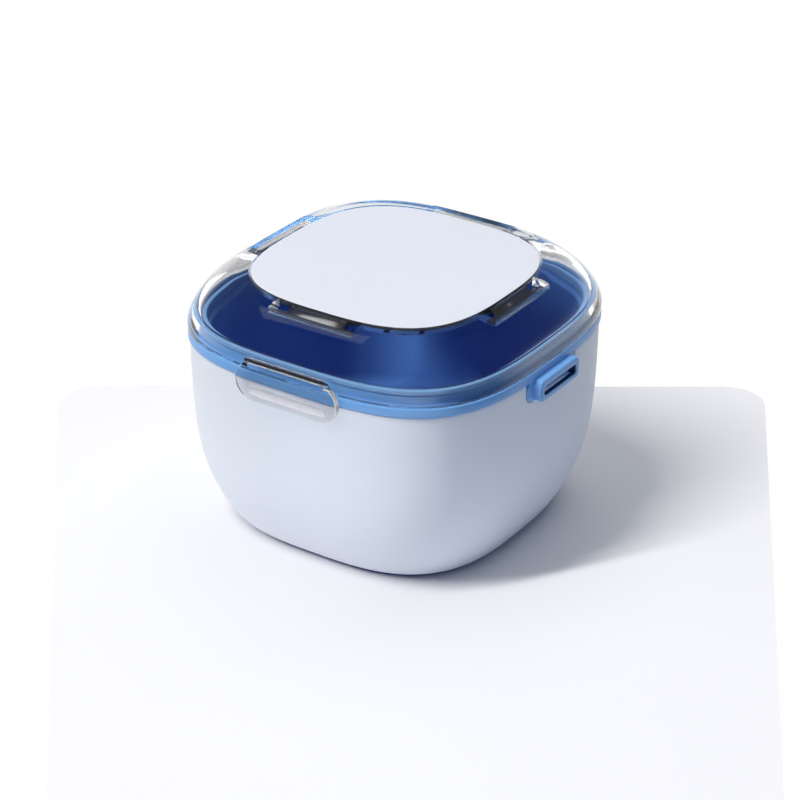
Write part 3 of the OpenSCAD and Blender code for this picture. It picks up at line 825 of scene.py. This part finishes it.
def ridgeBody(ridgeZ):  # the hook along the latch's inside: a round back on a square root
    p = latchParts
    innerY, half = rimHalf + p["gap"], p["ridgeHeight"] / 2
    depth = p["gap"] - p["hookGap"]
    radius = (half ** 2 + depth ** 2) / (2 * depth)
    spread = math.asin(half / radius)
    middleY = innerY - depth + radius
    line = []
    for k in range(17):
        a = -spread + 2 * spread * k / 16
        line.append((-(middleY - radius * math.cos(a)), ridgeZ + radius * math.sin(a)))
    rootY = -innerY - p["ridgeRoot"]
    line += [(rootY, ridgeZ + half), (rootY, ridgeZ - half)]
    return prism("ridge", line, -p["ridgeLength"] / 2, p["ridgeLength"] / 2, "x")


def makeLatch(name, body, node, turnBy):
    p = latchParts
    latch = latchBody()
    ridgeZ = rimZ - p["ridgeBelowBand"] - p["ridgeHeight"] / 2
    ridge = ridgeBody(ridgeZ)
    barrelHalf = pinHigh[0] - lidParts["earGrip"]
    barrel = prism("barrel", circlePoints(barrelRadius, (hingeY, hingeZ), 56), -barrelHalf, barrelHalf, "x")
    # room for the lid's ears at both ends of the barrel
    roomLow, roomHigh = hingeZ - barrelRadius - p["earRoom"], hingeZ + p["roomAbove"]
    roomEnd = barrelHalf + p["roomLength"]
    rooms = []
    for side in (-1, 1):
        outline = [(side * barrelHalf, roomLow), (side * roomEnd, roomLow), (side * roomEnd, roomHigh),
                   (side * barrelHalf, roomHigh)]
        rooms.append(prism("room", outline, latchLow[1] - cutPast, p["roomInset"] - rimHalf, "y"))
    shapeWith(latch, rooms, "DIFFERENCE")
    shapeWith(latch, [barrel, ridge], "UNION")
    boreEnd = barrelHalf + 2 * cutPast
    bore = prism("bore", circlePoints(pinRadius + p["pinGap"], (hingeY, hingeZ), 40), -boreEnd, boreEnd, "x")
    shapeWith(latch, [bore], "DIFFERENCE")
    turned(latch, turnBy)
    latch.name = name
    finishPiece(latch, latchClear, body, node, 28)
    latch.data.materials.append(ridgeClear)  # the hook ridge is left a little frosted
    slack = 0.03
    for face in latch.data.polygons:
        x, y, z = face.center / mm
        isInner = abs(y) < rimDepth(x, p["gap"]) - slack
        if isInner and abs(z - ridgeZ) < p["ridgeHeight"] / 2:
            face.material_index = 1


def makePin(name, node, turnBy):
    half, chamfer = pinHigh[0], pinParts["chamfer"]
    thin = pinRadius - chamfer
    rings = []
    for x, radius in ((-half, thin), (chamfer - half, pinRadius), (half - chamfer, pinRadius), (half, thin)):
        flat = circlePoints(radius, (hingeY, hingeZ), 48)
        rings.append(np.column_stack([np.full(len(flat), x), flat]))
    pin = turned(joinRings(name, rings), turnBy)
    return finishPiece(pin, pinSteel, "cover", node)


makeLatch("frontLatch", "front_flap", "front_latch", 0)
makeLatch("rearLatch", "rear_flap", "rear_latch", 180)
makePin("frontHingePin", "front_hinge_pin", 0)
makePin("rearHingePin", "rear_hinge_pin", 180)

print("maker: camera, floor and light")
cameraLook = {
    "azimuth": 33.91, "elevation": 27.84, "distance": 0.6865, "target": (0.00121, 0, 0.02975),
    "focal": 117.0, "sensor": 36,
}


def makeCamera():
    p = cameraLook
    az, el = math.radians(p["azimuth"]), math.radians(p["elevation"])
    back = Vector((math.sin(az) * math.cos(el), -math.cos(az) * math.cos(el), math.sin(el)))
    data = bpy.data.cameras.new("camera")
    data.lens = p["focal"]
    data.sensor_width = p["sensor"]
    camera = bpy.data.objects.new("camera", data)
    bpy.context.scene.collection.objects.link(camera)
    camera.location = Vector(p["target"]) + back * p["distance"]
    camera.rotation_mode = "QUATERNION"
    camera.rotation_quaternion = (-back).to_track_quat("-Z", "Y")
    bpy.context.scene.camera = camera


makeCamera()

floorLook = {
    # a thin slab, measured in millimetres in front of and behind the case as the camera sees it
    "back": 64.0, "front": 700.0, "backLeft": -97.0, "backRight": 106.0, "taper": 0.1, "corner": 11.0,
    "thickness": 8.0, "drop": 0.02,
    # its grey fades out with distance from the case, in metres
    "colour": srgb(231, 231, 235), "farColour": srgb(250, 250, 249), "fadeFrom": 0.15, "fadeTo": 0.25,
    "roughness": (0.5, 0.62), "grainScale": 900, "grainStrength": 0.15, "grainHeight": 0.05,
}


def floorMaterial():
    p = floorLook
    material, nodes, links = newMaterial("floorPaint")
    out = addNode(nodes, "OutputMaterial")
    shader = addNode(nodes, "BsdfPrincipled")
    place = addNode(nodes, "TexCoord")
    away = addNode(nodes, "VectorMath", operation="LENGTH")
    fade = addNode(nodes, "MapRange", {"From Min": p["fadeFrom"], "From Max": p["fadeTo"]},
                   interpolation_type="SMOOTHSTEP")
    tint = addNode(nodes, "Mix", data_type="RGBA")
    tint.inputs[6].default_value = (*p["colour"], 1)
    tint.inputs[7].default_value = (*p["farColour"], 1)
    grain = addNode(nodes, "TexNoise", {"Scale": p["grainScale"], "Detail": 3})
    rough = addNode(nodes, "MapRange", {"To Min": p["roughness"][0], "To Max": p["roughness"][1]})
    bump = addNode(nodes, "Bump", {"Strength": p["grainStrength"], "Distance": p["grainHeight"] * mm})
    wire(links, (place, "Object", away, 0), (away, "Value", fade, "Value"), (fade, "Result", tint, 0),
         (tint, 2, shader, "Base Color"), (place, "Object", grain, "Vector"), (grain, 0, rough, "Value"),
         (grain, 0, bump, "Height"), (rough, "Result", shader, "Roughness"),
         (bump, "Normal", shader, "Normal"), (shader, "BSDF", out, "Surface"))
    return material


def makeFloor():
    p = floorLook
    narrow = p["taper"] * (p["front"] + p["back"])
    corner = p["corner"]
    outline = [(p["backLeft"] + narrow, -p["front"]), (p["backRight"] - narrow, -p["front"])]
    for middleX, first in ((p["backRight"] - corner, 0), (p["backLeft"] + corner, 90)):
        for k in range(9):
            a = math.radians(first + 90 * k / 8)
            outline.append((middleX + corner * math.cos(a), p["back"] - corner * (1 - math.sin(a))))
    x, y = np.array(outline).T
    az = math.radians(cameraLook["azimuth"])
    facing = np.column_stack([x * math.cos(az) - y * math.sin(az), x * math.sin(az) + y * math.cos(az)])
    floor = prism("floor", facing, -p["thickness"], -p["drop"], "z")
    floor.data.materials.append(floorMaterial())


makeFloor()

lightLook = {
    # each lamp stands in its flat direction and elevation from the case; the key is a tall narrow strip
    "lamps": {
        "keyLamp": {"flatFrom": (-0.51, -0.86), "elevation": 54, "distance": 4.0, "size": (0.2, 2.8),
                    "power": 148.0, "colour": (1.0, 0.975, 0.93)},
        "softLamp": {"flatFrom": (-0.2, 0.7), "elevation": 66, "distance": 4.0, "size": (4.3, 4.3),
                     "power": 74.0, "colour": (1, 1, 1)},
        "sideLamp": {"flatFrom": (-0.62, -0.5), "elevation": 34, "distance": 4.0, "size": (3.3, 2.6),
                     "power": 22.0, "colour": (1, 1, 1)},
        "fillLamp": {"flatFrom": (0.9, -0.4), "elevation": 8, "distance": 1.4, "size": (0.8, 0.8),
                     "power": 0.7, "colour": (0.2, 0.7, 1.5)},
        "sheenPanel": {"flatFrom": (-0.49, -0.04), "elevation": 60, "distance": 1.3, "size": (0.42, 0.42),
                       "power": 0.66, "colour": (1, 1, 1)},
    },
    "aimHeight": 0.04,
    "sky": (0.84, 0.94, 1.1), "skyStrength": 0.19, "seenStrength": 1.0,
    "glossHigh": 0.07, "glossLow": 0.85, "glossRise": (0.05, 0.32), "glossBehind": (-0.15, 0.35),
}


def makeLamp(name, p):
    el = math.radians(p["elevation"])
    flat = Vector((*p["flatFrom"], 0)).normalized()
    toLamp = flat * math.cos(el) + Vector((0, 0, math.sin(el)))
    data = bpy.data.lights.new(name, "AREA")
    data.shape = "RECTANGLE"
    data.size, data.size_y = p["size"]
    data.energy = p["power"]
    data.color = p["colour"]
    lamp = bpy.data.objects.new(name, data)
    bpy.context.scene.collection.objects.link(lamp)
    lamp.location = Vector((0, 0, lightLook["aimHeight"])) + toLamp * p["distance"]
    lamp.rotation_mode = "QUATERNION"
    lamp.rotation_quaternion = (-toLamp).to_track_quat("-Z", "Y")
    # the sheen panel is only mirrored; the others light the case and leave no mark on its gloss
    lamp.visible_transmission = False
    if name == "sheenPanel":
        lamp.visible_diffuse = False
    else:
        lamp.visible_glossy = False


def makeWorld():
    p = lightLook
    world = bpy.data.worlds.new("studio")
    world.use_nodes = True
    nodes, links = world.node_tree.nodes, world.node_tree.links
    nodes.clear()
    out = addNode(nodes, "OutputWorld")
    sky = addNode(nodes, "Background", {"Color": (*p["sky"], 1), "Strength": p["skyStrength"]})
    seen = addNode(nodes, "Background", {"Color": (1, 1, 1, 1), "Strength": p["seenStrength"]})
    # what gloss mirrors: a pale wall low down behind the case, and a dim room above and in front
    glossSky = addNode(nodes, "Background", {"Color": (1, 1, 1, 1)})
    place = addNode(nodes, "TexCoord")
    parts = addNode(nodes, "SeparateXYZ")
    riseFrom, riseTo = p["glossRise"]
    rise = addNode(nodes, "MapRange", {"From Min": riseFrom, "From Max": riseTo, "To Min": p["glossLow"],
                                       "To Max": 0}, interpolation_type="SMOOTHSTEP")
    behind = addNode(nodes, "VectorMath", operation="DOT_PRODUCT")
    az = math.radians(cameraLook["azimuth"])
    behind.inputs[1].default_value = (-math.sin(az), math.cos(az), 0)
    reachFrom, reachTo = p["glossBehind"]
    reach = addNode(nodes, "MapRange", {"From Min": reachFrom, "From Max": reachTo},
                    interpolation_type="SMOOTHSTEP")
    pale = addNode(nodes, "Math", {2: p["glossHigh"]}, operation="MULTIPLY_ADD")
    wire(links, (place, "Generated", parts, "Vector"), (parts, "Z", rise, "Value"),
         (place, "Generated", behind, 0), (behind, "Value", reach, "Value"), (rise, "Result", pale, 0),
         (reach, "Result", pale, 1), (pale, "Value", glossSky, "Strength"))
    # the eye sees white, also through clear plastic, but not after a bounce inside the case
    path = addNode(nodes, "LightPath")
    eye = addNode(nodes, "Math", operation="MAXIMUM")
    bounces = addNode(nodes, "Math", operation="ADD")
    unlit = addNode(nodes, "Math", {1: 0.5}, operation="LESS_THAN")
    direct = addNode(nodes, "Math", operation="MULTIPLY")
    lit = addNode(nodes, "MixShader")
    whole = addNode(nodes, "MixShader")
    wire(links, (path, "Is Camera Ray", eye, 0), (path, "Is Transmission Ray", eye, 1),
         (path, "Diffuse Depth", bounces, 0), (path, "Glossy Depth", bounces, 1),
         (bounces, "Value", unlit, 0), (eye, "Value", direct, 0), (unlit, "Value", direct, 1),
         (path, "Is Glossy Ray", lit, "Fac"), (sky, "Background", lit, 1), (glossSky, "Background", lit, 2),
         (direct, "Value", whole, "Fac"), (lit, "Shader", whole, 1), (seen, "Background", whole, 2),
         (whole, "Shader", out, "Surface"))
    bpy.context.scene.world = world


for lampName, lampLook in lightLook["lamps"].items():
    makeLamp(lampName, lampLook)
makeWorld()
bpy.context.scene.view_settings.view_transform = "Standard"
